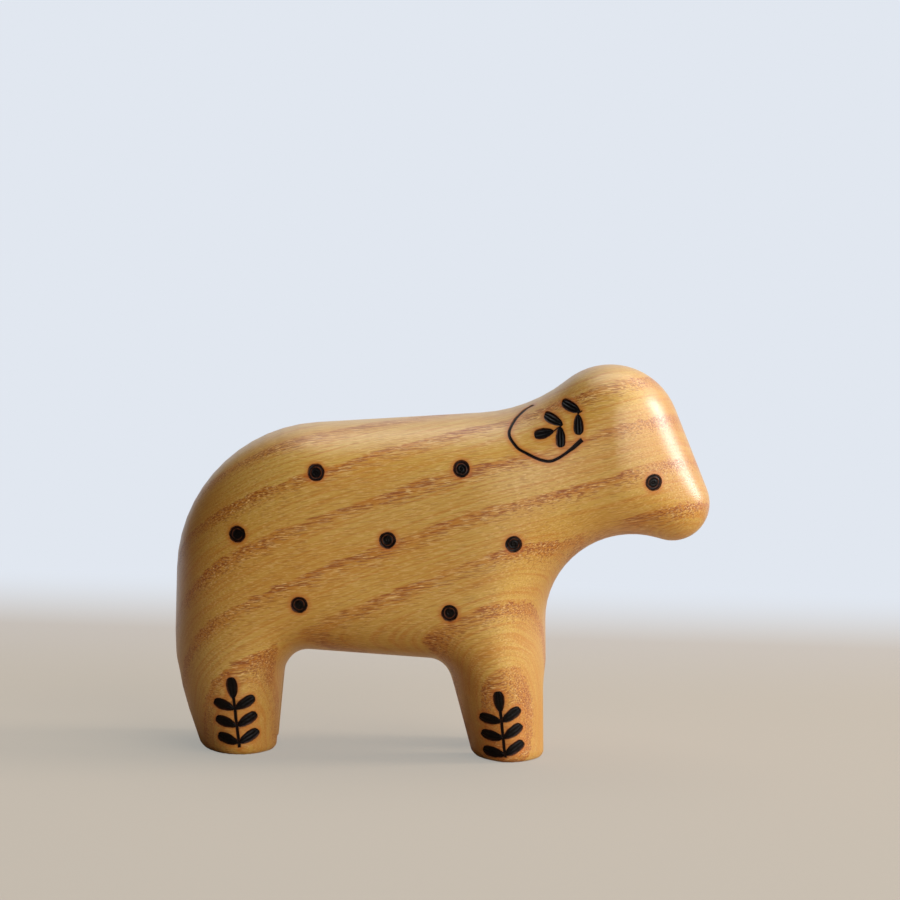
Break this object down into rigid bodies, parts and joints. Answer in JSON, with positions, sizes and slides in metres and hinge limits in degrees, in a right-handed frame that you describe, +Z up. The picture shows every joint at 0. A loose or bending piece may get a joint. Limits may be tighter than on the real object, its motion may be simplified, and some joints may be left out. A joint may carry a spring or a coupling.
{
  "type": "wooden lamb figure",
  "caption": "Small standing lamb carved from solid oiled hardwood, with dots, eyes, ears and leaf sprigs burned into both sides.",
  "frame": {"origin": "on the floor, under the middle of the lamb's length and width", "axes": "+X towards the lamb's nose, +Y towards its left side, +Z up"},
  "size_m": [0.0796, 0.028, 0.0589],
  "materials": {
    "oiled_wood": "ring-porous honey brown hardwood, sanded smooth and oiled to a satin gloss",
    "char": "wood burned black with a hot tip, slightly glossy"
  },
  "bodies": {
    "root": {"carved_body": "oiled_wood", "right_eye": "char", "right_ear_line": "char", "right_ear_sprig": "char", "right_front_leg_sprig": "char", "right_rear_leg_sprig": "char", "right_flank_dot_1": "char", "right_flank_dot_2": "char", "right_flank_dot_3": "char", "right_flank_dot_4": "char", "right_flank_dot_5": "char", "right_flank_dot_6": "char", "right_flank_dot_7": "char", "left_eye": "char", "left_ear_line": "char", "left_ear_sprig": "char", "left_front_leg_sprig": "char", "left_rear_leg_sprig": "char", "left_flank_dot_1": "char", "left_flank_dot_2": "char", "left_flank_dot_3": "char", "left_flank_dot_4": "char", "left_flank_dot_5": "char", "left_flank_dot_6": "char", "left_flank_dot_7": "char"}
  },
  "joints": []
}
